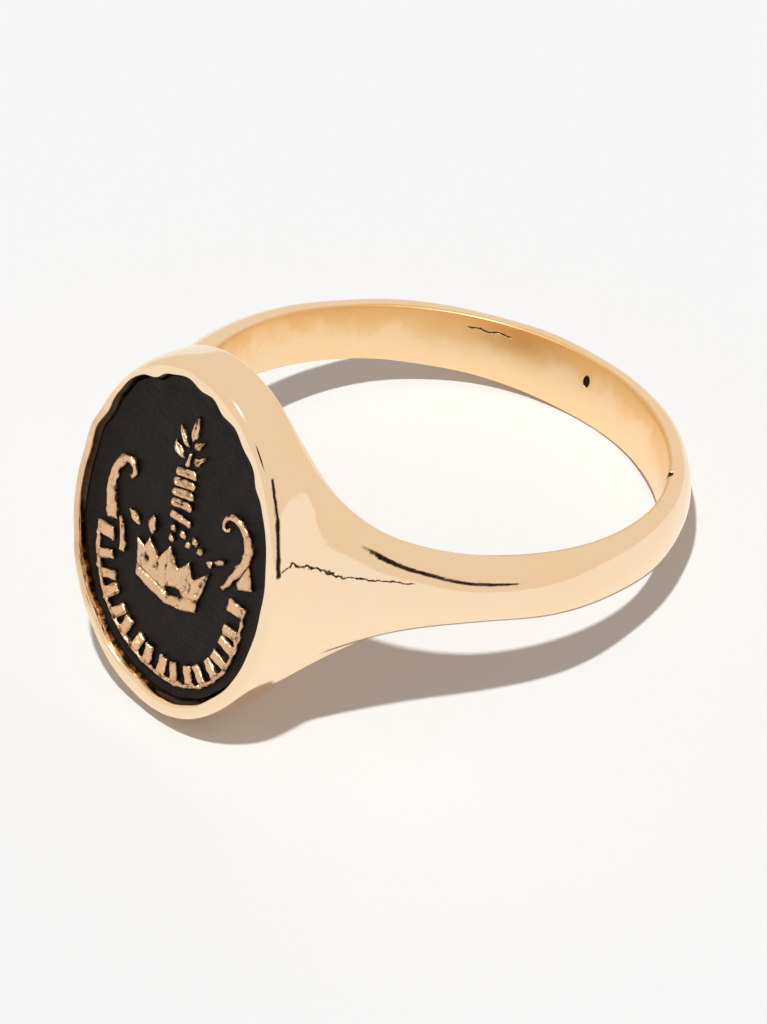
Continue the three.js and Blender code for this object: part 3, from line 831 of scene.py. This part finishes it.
def spline(points, segments):
    """A smooth curve through the points, as that many segments."""
    knots = on_crest(points)
    knots = np.vstack([2 * knots[0] - knots[1], knots, 2 * knots[-1] - knots[-2]])
    spans = len(knots) - 3
    curve = []
    for i in range(segments + 1):
        position = min(i / segments * spans, spans - 1e-9)
        span = int(position)
        t = position - span
        a, b, c, d = knots[span : span + 4]
        square = (2 * a - 5 * b + 4 * c - d) * t**2
        cube = (3 * b - a - 3 * c + d) * t**3
        curve.append(0.5 * (2 * b + (c - a) * t + square + cube))
    return np.array(curve)


def evenly(path, count):
    """The same path with its points at equal distances."""
    steps = np.linalg.norm(np.diff(path, axis=0), axis=1)
    reach = np.concatenate([[0], np.cumsum(steps)])
    at = np.linspace(0, reach[-1], count)
    return np.column_stack([np.interp(at, reach, path[:, k]) for k in (0, 1)])


def sideways(path):
    along = np.gradient(path, axis=0)
    along /= np.linalg.norm(along, axis=1)[:, None]
    return np.column_stack([-along[:, 1], along[:, 0]])


def strip_outline(path, width):
    half = np.array([width(i / (len(path) - 1)) / 2 for i in range(len(path))])[:, None]
    aside = sideways(path) * half
    return np.vstack([path - aside, (path + aside)[::-1]])


def bar_outline(start, end, width):
    start, end = on_crest([start, end])
    heading = math.atan2(*(end - start)[::-1])
    outline = []
    for centre, turn in ((end, -math.pi / 2), (start, math.pi / 2)):
        for i in range(9):
            angle = heading + turn + math.pi * i / 8
            outline.append(centre + width / 2 * np.array([math.cos(angle), math.sin(angle)]))
    return np.array(outline)


def leaf_outline(base, tip, width):
    start, end = on_crest([base, tip])
    across = unit(end - start)[::-1] * (-1, 1)
    ts = [i / 12 for i in range(13)]
    bulge = [math.sin(math.pi * t**0.8) * width / 2 for t in ts]
    right_side = [start + (end - start) * t - across * b for t, b in zip(ts, bulge)]
    left_side = [start + (end - start) * t + across * b for t, b in zip(ts, bulge)][-2:0:-1]
    return np.array(right_side + left_side)


def round_outline(centre, diameter):
    middle = on_crest(centre)
    angles = [2 * math.pi * i / 20 for i in range(20)]
    return np.array([middle + diameter / 2 * np.array([math.cos(a), math.sin(a)]) for a in angles])


RIBBON_LINE = evenly(spline([
    (-3.62, -1.35), (-3.45, -2.6), (-2.88, -3.85), (-1.85, -4.8), (-0.5, -5.3),
    (0.8, -5.3), (1.95, -4.75), (2.78, -3.7), (3.15, -2.4), (3.22, -0.95),
], 240), 241)
RIBBON_OUT = -sideways(RIBBON_LINE)


def beside_ribbon(along, aside):
    step = round(along * (len(RIBBON_LINE) - 1))
    return RIBBON_LINE[step] + RIBBON_OUT[step] * aside


def ribbon_patch(start, stop, inner, outer):
    last = len(RIBBON_LINE) - 1
    steps = range(round(start * last), round(stop * last) + 1)
    edge = [RIBBON_LINE[i] + RIBBON_OUT[i] * outer for i in steps]
    back = [RIBBON_LINE[i] + RIBBON_OUT[i] * inner for i in reversed(steps)]
    return np.array(edge + back)


def bar_tree():
    """A tree that sets bars along a line, leaning to and fro, each a little different in size."""
    tree = bpy.data.node_groups.new("ribbon_bars", "GeometryNodeTree")
    tree.is_modifier = True
    tree.interface.new_socket("Geometry", in_out="INPUT", socket_type="NodeSocketGeometry")
    tree.interface.new_socket("Bars", in_out="INPUT", socket_type="NodeSocketInt")
    for name in ("Bar Width", "Bar Length", "Bar Height", "Bar Lean"):
        tree.interface.new_socket(name, in_out="INPUT", socket_type="NodeSocketFloat")
    tree.interface.new_socket("Geometry", in_out="OUTPUT", socket_type="NodeSocketGeometry")
    given = tree.nodes.new("NodeGroupInput")

    def node(kind, links, **settings):
        made = tree.nodes.new(kind)
        for key, value in settings.items():
            setattr(made, key, value)
        for socket, value in links.items():
            if isinstance(value, bpy.types.NodeSocket):
                tree.links.new(value, made.inputs[socket])
            else:
                made.inputs[socket].default_value = value
        return made

    curve = node("GeometryNodeMeshToCurve", {"Mesh": given.outputs["Geometry"]})
    spots = node(
        "GeometryNodeCurveToPoints",
        {"Curve": curve.outputs["Curve"], "Count": given.outputs["Bars"]},
        mode="COUNT",
    )
    heading = node(
        "FunctionNodeAlignRotationToVector",
        {"Vector": spots.outputs["Tangent"]},
        axis="X",
        pivot_axis="Z",
    )
    size = node("ShaderNodeCombineXYZ", {
        "X": given.outputs["Bar Width"], "Y": given.outputs["Bar Length"], "Z": given.outputs["Bar Height"],
    })
    bar = node("GeometryNodeMeshCube", {"Size": size.outputs[0]})
    uneven = node("FunctionNodeRandomValue", {"Seed": BAR_SEED}, data_type="FLOAT_VECTOR")
    uneven.inputs[0].default_value = LEAST_BAR
    uneven.inputs[1].default_value = LARGEST_BAR
    placed = node("GeometryNodeInstanceOnPoints", {
        "Points": spots.outputs["Points"], "Instance": bar.outputs["Mesh"],
        "Rotation": heading.outputs["Rotation"], "Scale": uneven.outputs[0],
    })
    count = node("GeometryNodeInputIndex", {})
    odd = node("ShaderNodeMath", {0: count.outputs[0], 1: 2}, operation="MODULO")
    side = node("ShaderNodeMath", {0: odd.outputs[0], 1: 2, 2: -1}, operation="MULTIPLY_ADD")
    lean = node("ShaderNodeMath", {0: side.outputs[0], 1: given.outputs["Bar Lean"]}, operation="MULTIPLY")
    slope = node("ShaderNodeMath", {0: lean.outputs[0], 1: given.outputs["Bar Length"]}, operation="DIVIDE")
    turn = node("ShaderNodeMath", {0: slope.outputs[0], 1: -1}, operation="MULTIPLY")
    angles = node("ShaderNodeCombineXYZ", {"Z": turn.outputs[0]})
    turned = node("GeometryNodeRotateInstances", {
        "Instances": placed.outputs["Instances"], "Rotation": angles.outputs[0],
    })
    half = node("ShaderNodeMath", {0: lean.outputs[0], 1: 0.5}, operation="MULTIPLY")
    aside = node("ShaderNodeCombineXYZ", {"X": half.outputs[0]})
    moved = node("GeometryNodeTranslateInstances", {
        "Instances": turned.outputs["Instances"], "Translation": aside.outputs[0],
    })
    real = node("GeometryNodeRealizeInstances", {"Geometry": moved.outputs["Instances"]})
    coated = node("GeometryNodeSetMaterial", {"Geometry": real.outputs["Geometry"], "Material": AGED})
    node("NodeGroupOutput", {"Geometry": coated.outputs["Geometry"]})
    return tree


def ribbon_bars(start, stop, aside, length):
    """The solid bars of the ribbon, as points and faces."""
    last = len(RIBBON_LINE) - 1
    steps = range(round(start * last), round(stop * last) + 1)
    line = [beside_ribbon(step / last, aside) for step in steps]
    height = RELIEF_TOP - RELIEF_FOOT
    points = [(x, y, RELIEF_FOOT + height / 2) for x, y in line]
    piece = new_object("ribbon_bars", points, [], False, [(i, i + 1) for i in range(len(points) - 1)])
    tree = bar_tree()
    sizes = {
        "Bars": RIBBON_BARS, "Bar Width": RIBBON_BAR_WIDTH, "Bar Length": length,
        "Bar Height": height, "Bar Lean": RIBBON_BAR_LEAN,
    }
    modifier = piece.modifiers.new("bars", "NODES")
    modifier.node_group = tree
    for socket in tree.interface.items_tree:
        if socket.in_out == "INPUT" and socket.name in sizes:
            modifier[socket.identifier] = sizes[socket.name]
    mesh = evaluated(piece)
    return points_of(mesh), [list(face.vertices) for face in mesh.polygons]


def ribbon_outlines():
    """The ribbon's frame and bars as outlines, and the bars as solids."""
    length = np.linalg.norm(np.diff(RIBBON_LINE, axis=0), axis=1).sum()
    half = RIBBON_WIDTH / 2
    end = RIBBON_END / length
    bar = RIBBON_BAR_WIDTH / length
    pitch = (1 - 2 * end) / (RIBBON_BARS + 1)
    under_rail = half - RIBBON_RAIL / 2
    outlines = [
        ribbon_patch(0, 1, half - RIBBON_RAIL, half),
        ribbon_patch(0, end, -half, under_rail),
        ribbon_patch(1 - end, 1, -half, under_rail),
    ]
    for i in range(1, RIBBON_BARS + 1):
        middle = end + i * pitch
        lean = RIBBON_BAR_LEAN / length * (1 if i % 2 == 0 else -1)
        corners = [
            (-bar / 2, under_rail), (bar / 2, under_rail),
            (bar / 2 + lean, -half), (lean - bar / 2, -half),
        ]
        outlines.append(np.array([beside_ribbon(middle + along, aside) for along, aside in corners]))
    bars = ribbon_bars(end + pitch, 1 - end - pitch, (under_rail - half) / 2, under_rail + half)
    return outlines, bars


CORONET_OUTLINE = [
    (-1.84, -2.5), (-1.1, -2.74), (-0.3, -2.84), (0.6, -2.74), (1.3, -2.44), (1.28, -1.96),
    (1.42, -1.5), (1.6, -0.56), (0.94, -1.26), (0.62, -0.66), (0.12, -1.22), (-0.42, -0.55),
    (-0.88, -1.24), (-1.46, -0.68), (-1.64, -1.24), (-2.06, -1.02), (-1.9, -1.9),
]
LEFT_TAIL = [
    (-2.82, 1.02), (-2.68, 1.3), (-2.78, 1.6), (-3.1, 1.68), (-3.42, 1.4), (-3.62, 0.9),
    (-3.68, 0.2), (-3.55, -0.45), (-3.38, -0.98),
]
LEFT_FOLD = [(-3.02, -0.72), (-2.84, -1.2), (-2.7, -1.7), (-2.66, -2.0)]
RIGHT_TAIL = [
    (2.3, 1.62), (2.08, 1.5), (1.94, 1.72), (2.1, 2.05), (2.5, 2.16), (2.98, 1.92),
    (3.3, 1.35), (3.2, 0.7), (2.82, 0.02), (2.36, -0.82),
]
RIGHT_END = [(3.0, -0.18), (3.12, -0.36), (3.8, -0.14), (3.42, 0.72)]
LEAVES = [
    ((-0.16, 3.98), (-0.1, 5.05), 0.32),
    ((-0.3, 3.62), (-0.95, 4.34), 0.26),
    ((-0.06, 3.7), (0.36, 4.24), 0.24),
    ((-0.46, 3.12), (-1.08, 3.64), 0.34),
    ((0.02, 3.12), (0.56, 3.68), 0.26),
]
WRAP_HEIGHTS = [2.6, 2.17, 1.74, 1.31]
PELLETS = [(-0.44, 0.24), (0.08, 0.2), (-0.44, -0.2), (0.4, -0.06), (0.7, 0.24), (1.04, 0.02), (1.6, -0.22)]


def away_from(points, start, end):
    """Distance of each point from the line between two crest points."""
    start, end = on_crest([start, end])
    along = end - start
    t = np.clip((points - start) @ along / (along @ along), 0, 1)
    return np.linalg.norm(points - start - t[:, None] * along, axis=1)


def groove(points, start, end, width, depth):
    return -depth * np.exp(-((away_from(points, start, end) / width) ** 2))


def rounded(points, outlines, reach):
    """1 well inside the outlines, sinking near their edges."""
    away = np.full(len(points), np.inf)
    for outline in outlines:
        for a, b in zip(outline, np.roll(outline, -1, axis=0)):
            along = b - a
            t = np.clip((points - a) @ along / (along @ along + 1e-12), 0, 1)
            away = np.minimum(away, np.linalg.norm(points - a - t[:, None] * along, axis=1))
    return np.sqrt(np.clip(away / reach, 0, 1))


DEEPEST_CUT = -0.2  # share of a piece's height over the black coat
HIGHEST_SWELL = 1.25


def hand_cut(points):
    """The unevenness that a graver leaves over a raised surface."""
    x, y = points[:, 0], points[:, 1]
    return (
        0.10 * np.sin(4.1 * x + 2.3 * y + 0.4) * np.sin(3.3 * y - 1.7 * x)
        + 0.08 * np.sin(9.7 * x - 6.1 * y + 1.1) * np.sin(8.3 * y + 4.9 * x + 2.0)
        + 0.05 * np.sin(17.3 * x + 12.1 * y) * np.sin(15.1 * y - 11.7 * x + 0.7)
    )


# Graver's cuts in the coronet: from, to, width, share of the height taken away
CORONET_CUTS = [
    ((-1.9, -2.05), (-0.3, -2.4), 0.07, 0.45),
    ((-0.3, -2.4), (1.4, -1.95), 0.07, 0.45),
    ((-1.45, -1.72), (-1.4, -1.55), 0.11, 0.55),
    ((-0.95, -1.72), (-0.9, -1.55), 0.11, 0.55),
    ((0.75, -1.72), (0.8, -1.55), 0.11, 0.55),
    ((-0.42, -1.9), (-0.44, -1.0), 0.06, 0.4),
    ((0.6, -1.8), (0.66, -1.0), 0.06, 0.4),
    ((-1.5, -1.6), (-1.5, -1.0), 0.06, 0.4),
    ((1.2, -1.7), (1.46, -0.9), 0.07, 0.4),
    ((-0.12, -2.28), (0.3, -2.18), 0.17, 1.4),
]


def coronet_shape(points):
    return sum(groove(points, *cut) for cut in CORONET_CUTS)


def relief(name, outlines, voxel, reach, shape=None, bars=None):
    """A raised piece of the crest: its outlines cut out, joined, softened and worked over."""
    points, faces = [], []
    cut = outlines
    if bars is not None:
        points, faces = [tuple(point) for point in bars[0]], list(bars[1])
        cut = outlines[:RIBBON_FRAME_PARTS]
    for outline in cut:
        slow = 0.022 * np.sin(outline[:, ::-1] * 11 + [0.3, 1.9])
        outline = outline + slow + 0.012 * np.sin(outline * 23 + [2.1, 0.7])
        start, count = len(points), len(outline)
        points += [(x, y, RELIEF_FOOT) for x, y in outline] + [(x, y, RELIEF_TOP) for x, y in outline]
        low = [start + i for i in range(count)]
        high = [start + count + i for i in range(count)]
        faces += [low[::-1], high]
        faces += [[low[i - 1], low[i], high[i], high[i - 1]] for i in range(count)]
    piece = new_object(name + "_cut", points, faces, False)
    recalculate_outwards(piece.data)
    remesh = piece.modifiers.new("cast", "REMESH")
    remesh.mode = "VOXEL"
    remesh.voxel_size = voxel
    remesh.use_smooth_shade = True
    soften = piece.modifiers.new("soften", "SMOOTH")
    soften.factor = 0.5
    soften.iterations = 2
    mesh = evaluated(piece)
    cast = points_of(mesh)
    flat = cast[:, :2]
    level = 1 + hand_cut(flat)
    if shape is not None:
        level += shape(flat)
    edge = blend(0.45, 1, rounded(flat, outlines, reach))
    rise = np.maximum(cast[:, 2] - FIELD_TOP, 0)
    share = np.clip(level * edge, DEEPEST_CUT, HIGHEST_SWELL)
    cast[:, 2] = np.minimum(cast[:, 2], FIELD_TOP) + rise * share
    mesh.vertices.foreach_set("co", (to_row(from_face(cast)) * MM).ravel())
    mesh.name = name + "_relief"
    mesh.shade_smooth()
    mesh.update()
    made = bpy.data.objects.new(name + "_relief", mesh)
    bpy.context.scene.collection.objects.link(made)
    recalculate_outwards(mesh)
    finish_piece(made, "aged_gold", [name], AGED)
    return made


def left_fold_width(t):
    return 0.16 + 0.12 * t


def left_tail_width(t):
    return 0.14 + 0.4 * t


def right_tail_width(t):
    return 0.13 + 0.26 * math.sin(math.pi * t**2.2)


def midrib(base, tip):
    return lambda points: groove(points, base, tip, 0.035, 0.45)


def cord_turn(y):
    """Two strands side by side in one turn of the cord."""
    return lambda points: groove(points, (-0.6, y - 0.08), (0.12, y + 0.12), 0.04, 0.4)


for number, (base, tip, width) in enumerate(LEAVES, 1):
    relief(f"sprig_leaf_{number}", [leaf_outline(base, tip, width)], 0.016, 0.1, midrib(base, tip))
relief("sprig_stem", [bar_outline((-0.26, 2.98), (-0.18, 3.42), 0.16)], 0.016, 0.08)
for number, y in enumerate(WRAP_HEIGHTS, 1):
    turn_outline = bar_outline((-0.6, y - 0.1), (0.12, y + 0.1), 0.32)
    relief(f"grip_wrap_{number}", [turn_outline], 0.018, 0.14, cord_turn(y))
relief("grip_collar", [bar_outline((-0.56, 0.72), (0.24, 0.76), 0.28)], 0.018, 0.12)
for number, centre in enumerate(PELLETS, 1):
    relief(f"pellet_{number}", [round_outline(centre, 0.28)], 0.016, 0.13)
relief("coronet", [on_crest(CORONET_OUTLINE)], 0.026, 0.12, coronet_shape)
relief("finial_leaf_right", [leaf_outline((1.78, -0.02), (2.28, 0.26), 0.24)], 0.016, 0.1)
relief("finial_left_inner", [leaf_outline((-1.42, -0.56), (-1.46, 0.22), 0.42)], 0.018, 0.14)
relief("finial_left_outer", [leaf_outline((-2.06, -0.56), (-2.62, -0.16), 0.34)], 0.018, 0.12)
band_outlines, band_bars = ribbon_outlines()
relief("ribbon_band", band_outlines, 0.024, 0.07, bars=band_bars)
relief("ribbon_fold_left", [strip_outline(spline(LEFT_FOLD, 16), left_fold_width)], 0.018, 0.08)
relief("ribbon_tail_left", [strip_outline(spline(LEFT_TAIL, 48), left_tail_width)], 0.02, 0.09)
relief("ribbon_tail_right", [strip_outline(spline(RIGHT_TAIL, 52), right_tail_width)], 0.02, 0.09)
relief("ribbon_end_right", [on_crest(RIGHT_END)], 0.02, 0.1)

# ---- studio ----

TABLE_REACH = 2  # metres
table_corners = [(x * TABLE_REACH, y * TABLE_REACH, 0) for x, y in ((-1, -1), (1, -1), (1, 1), (-1, 1))]
table = new_object("table", table_corners, [[0, 1, 2, 3]], False)
table.data.materials.append(table_white())

# The camera, turned and raised from the front of the ring's own frame. It looks past the middle.
CAMERA_TURN = math.radians(41.947)
CAMERA_RISE = math.radians(30.049)
CAMERA_ROLL = math.radians(10.265)
CAMERA_DISTANCE = 399.86
LENS = 391.9
AIM_RIGHT = -1.547
AIM_UP = -2.028
back = np.array([
    math.sin(CAMERA_TURN) * math.cos(CAMERA_RISE),
    -math.cos(CAMERA_TURN) * math.cos(CAMERA_RISE),
    math.sin(CAMERA_RISE),
])
level_right = np.array([math.cos(CAMERA_TURN), math.sin(CAMERA_TURN), 0])
level_up = np.cross(back, level_right)
right = math.cos(CAMERA_ROLL) * level_right + math.sin(CAMERA_ROLL) * level_up
up = math.cos(CAMERA_ROLL) * level_up - math.sin(CAMERA_ROLL) * level_right
aim = right * AIM_RIGHT + up * AIM_UP
eye = to_row([aim + back * CAMERA_DISTANCE])[0] * MM
axes = [to_row([v])[0] - MIDDLE for v in (right, up, back)]
camera = bpy.data.objects.new("camera", bpy.data.cameras.new("camera"))
bpy.context.scene.collection.objects.link(camera)
camera.data.lens = LENS
camera.data.clip_start = 0.01
turn = Matrix([list(map(float, axis)) for axis in axes]).transposed()
camera.matrix_world = Matrix.Translation(Vector(eye)) @ turn.to_4x4()
bpy.context.scene.camera = camera

SUN_ENERGY = 2.578
SUN_COLOUR = (0.943, 0.994, 1)
SUN_WIDTH = math.radians(2.5)
SUN_FROM = Vector((0.16, -0.21, 0.965))
sun = bpy.data.objects.new("key_light", bpy.data.lights.new("key_light", "SUN"))
sun.data.energy = SUN_ENERGY
sun.data.color = SUN_COLOUR
sun.data.angle = SUN_WIDTH
sun.rotation_euler = SUN_FROM.to_track_quat("Z", "Y").to_euler()
bpy.context.scene.collection.objects.link(sun)

world = bpy.data.worlds.new("studio")
world.use_nodes = True
sky = Nodes(world.node_tree)
direction = sky.add("ShaderNodeTexCoord").outputs["Object"]


def towards(azimuth, elevation):
    a, e = math.radians(azimuth), math.radians(elevation)
    return Vector((math.sin(a) * math.cos(e), -math.cos(a) * math.cos(e), math.sin(e)))


def dark_patch(azimuth, elevation, half_width, half_height, slope):
    """1 inside an oval patch of the room, seen from the ring, and 0 outside it."""
    centre = towards(azimuth, elevation)
    level = Vector((0, 0, 1)).cross(centre).normalized()
    rise = centre.cross(level)
    lean = math.radians(slope)
    long_axis = level * math.cos(lean) + rise * math.sin(lean)
    short_axis = rise * math.cos(lean) - level * math.sin(lean)
    x = sky.math("DIVIDE", sky.along(direction, long_axis), math.sin(math.radians(half_width)))
    y = sky.math("DIVIDE", sky.along(direction, short_axis), math.sin(math.radians(half_height)))
    reach = sky.math("SQRT", sky.math("ADD", sky.math("MULTIPLY", x, x), sky.math("MULTIPLY", y, y)))
    ahead = sky.math("GREATER_THAN", sky.along(direction, centre), 0)
    return sky.math("MULTIPLY", sky.remap(reach, 1.1, 0.75), ahead)


SKY_COLOUR = (0.85, 0.775, 0.69, 1)
DARK_COLOUR = (0.012, 0.01, 0.008, 1)
FILL_COLOUR = (0.405, 0.365, 0.36, 1)  # what lights the table's shadows
room = sky.mix(dark_patch(88, 17.5, 9, 4, 12), SKY_COLOUR, DARK_COLOUR)
room = sky.mix(dark_patch(50, 41, 9, 8, 0), room, DARK_COLOUR)
seen = sky.add("ShaderNodeBackground")
sky.join(room, seen.inputs["Color"])
ambient = sky.add("ShaderNodeBackground")
ambient.inputs["Color"].default_value = FILL_COLOUR
rays = sky.add("ShaderNodeLightPath")
both = sky.add("ShaderNodeMixShader")
sky.join(rays.outputs["Is Diffuse Ray"], both.inputs[0])
sky.join(seen.outputs[0], both.inputs[1])
sky.join(ambient.outputs[0], both.inputs[2])
sky.join(both.outputs[0], sky.add("ShaderNodeOutputWorld").inputs["Surface"])
bpy.context.scene.world = world
bpy.context.scene.view_settings.view_transform = "Standard"
